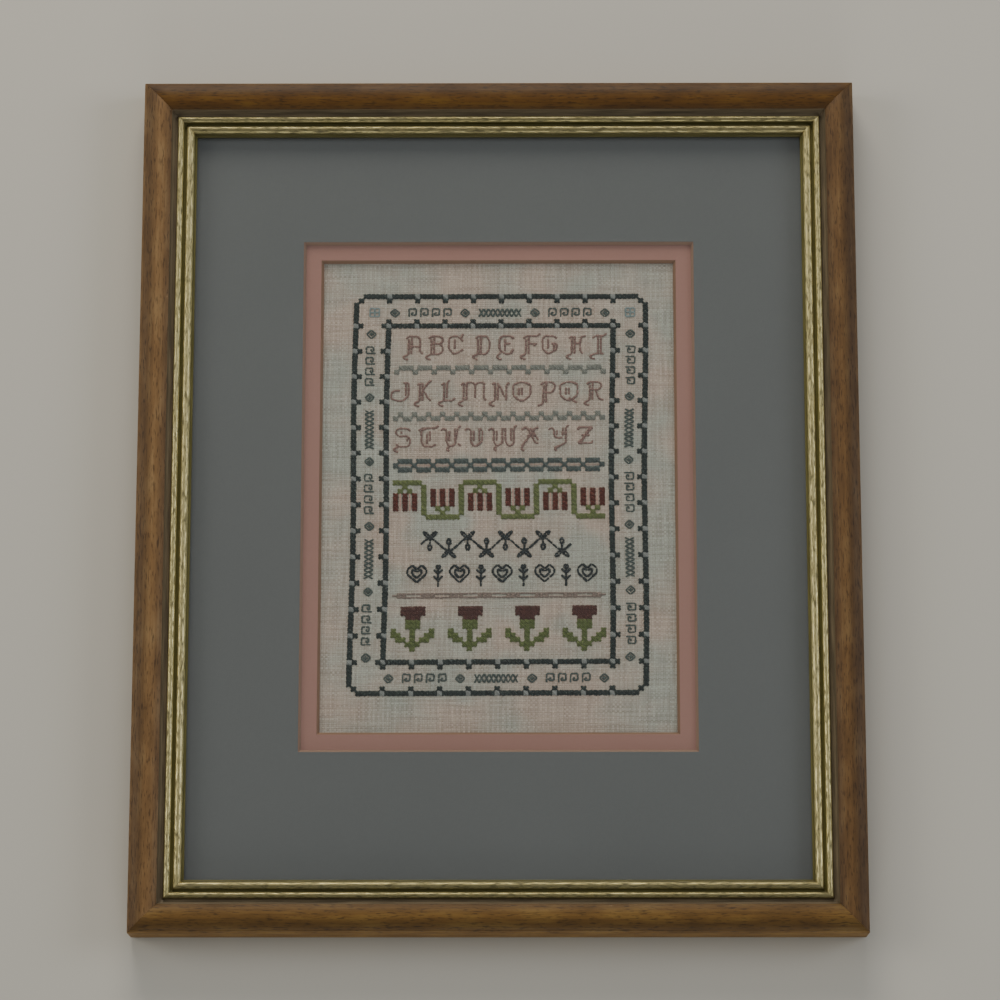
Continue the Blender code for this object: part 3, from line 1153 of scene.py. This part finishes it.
# plain line motifs, drawn as the letters are
motifs = {
    "key": "04.00.30.33.13.12.22 54.50.80.83.63.62.72 a4.a0.d0.d3.b3.b2.c2 f4.f0.i0.i3.g3.g2.h2",
    "trellis": "04.20.44.60.84.a0.c4.e0.g4.i0 00.24.40.64.80.a4.c0.e4.g0.i4",
    "diamond": "02.20.42.24.02 12.32 21.23",
    "window": "00.40.44.04.00 20.24 02.42",
}
# lines of motifs in the border: where each starts and which way it runs, in threads
ornamentLines = (
    {"start": (14.5, 5.8), "ahead": (1, 0), "down": (0, 1), "groups": 3},
    {"start": (14.5, 175.4), "ahead": (1, 0), "down": (0, 1), "groups": 3},
    {"start": (4.8, 170), "ahead": (0, -1), "down": (1, 0), "groups": 5},
    {"start": (119.4, 16), "ahead": (0, 1), "down": (-1, 0), "groups": 5},
)
ornamentPitch = {"group": 30, "run": 8}
cornerWindows = ((5.8, 5.6), (115.4, 5.6))


def turnedPaths(glyph, line, along):
    (startX, startY), (aheadX, aheadY), (downX, downY) = line["start"], line["ahead"], line["down"]
    return [
        [(startX + aheadX * x + downX * y, startY + aheadY * x + downY * y) for x, y in path]
        for path in glyphPaths(glyph, along, 0)
    ]


# diamonds with a run of keys or of trellis between them
def makeOrnaments():
    paths = []
    for line in ornamentLines:
        for group in range(line["groups"]):
            along = ornamentPitch["group"] * group
            run = motifs["trellis" if group % 2 else "key"]
            paths += turnedPaths(motifs["diamond"], line, along)
            paths += turnedPaths(run, line, along + ornamentPitch["run"])
        paths += turnedPaths(motifs["diamond"], line, ornamentPitch["group"] * line["groups"])
    backStitches("stitches_ornaments", paths, threads["ink"], seed=22, width=1.6)
    corners = [path for x, y in cornerWindows for path in glyphPaths(motifs["window"], x, y)]
    backStitches("stitches_corner_windows", corners, threads["sky"], seed=23, width=1.6)


# two rows of sprays in the middle field, drawn as the letters are; starts and pitches in threads
sprays = {
    "vineStart": (28.6, 110.6),
    "vinePitch": 16,
    "vines": 4,
    "heartStart": (23.2, 125),
    "sprigStart": (33.2, 125),
    "heartPitch": 18,
    "hearts": 5,
    "vine": "06.24.43.64.86.a8.c9.e8.g6 43.22.10.31.43 43.62.70.51.43 43.46.37.49.57.46"
    " c9.aa.9c.bb.c9 c9.ea.fc.db.c9 c9.c6.b5.c3.d5.c6",
    "heart": "43.21.03.05.49.85.83.61.43 44.23.25.47.65.63.44",
    "sprig": "3b.33 38.16 38.56 35.13 35.53 33.22.31.42.33",
}


def makeSprays():
    paths = []
    x, y = sprays["vineStart"]
    for unit in range(sprays["vines"]):
        paths += glyphPaths(sprays["vine"], x + sprays["vinePitch"] * unit, y)
    for unit in range(sprays["hearts"]):
        for key in ("heart", "sprig") if unit < sprays["hearts"] - 1 else ("heart",):
            x, y = sprays[key + "Start"]
            paths += glyphPaths(sprays[key], x + sprays["heartPitch"] * unit, y)
    backStitches("stitches_sprays", paths, threads["navy"], seed=24, width=2.05)


makeBands()
makeMeander()
makeThistles()
makeAlphabet()
makeOrnaments()
makeSprays()


print("glass and back")


# float glass 2 mm thick, polished by its making: clear, with a faint mirror of the room.
# Light from the lamps, and light that the cloth, mats and frame scatter, passes straight through,
# as it all but does through a flat pane
def floatGlass():
    material, tree, shader = newMaterial("floatGlass")
    feed(shader, {"Base Color": hexColor("#fcfefd"), "Roughness": 0.0})
    feed(shader, {"IOR": 1.52, "Transmission Weight": 1.0})
    clear = addNode(tree, "ShaderNodeBsdfTransparent", {"Color": hexColor("#fafcfb")})
    path = addNode(tree, "ShaderNodeLightPath")
    passing = addNode(
        tree,
        "ShaderNodeMath",
        {0: path.outputs["Is Shadow Ray"], 1: path.outputs["Is Diffuse Ray"]},
        operation="MAXIMUM",
    )
    mix = addNode(
        tree, "ShaderNodeMixShader", {0: passing.outputs[0], 1: shader.outputs[0], 2: clear.outputs[0]}
    )
    feed(tree.nodes["Material Output"], {"Surface": mix.outputs[0]})
    return material


def dressNode(node, material):
    obj = bpy.data.objects[node]
    obj.data.materials.clear()
    obj.data.materials.append(material)


dressNode("glazing", floatGlass())
dressNode("backing_board", matPaper("brownPressedBoard", "#6b5138", "#78603f"))
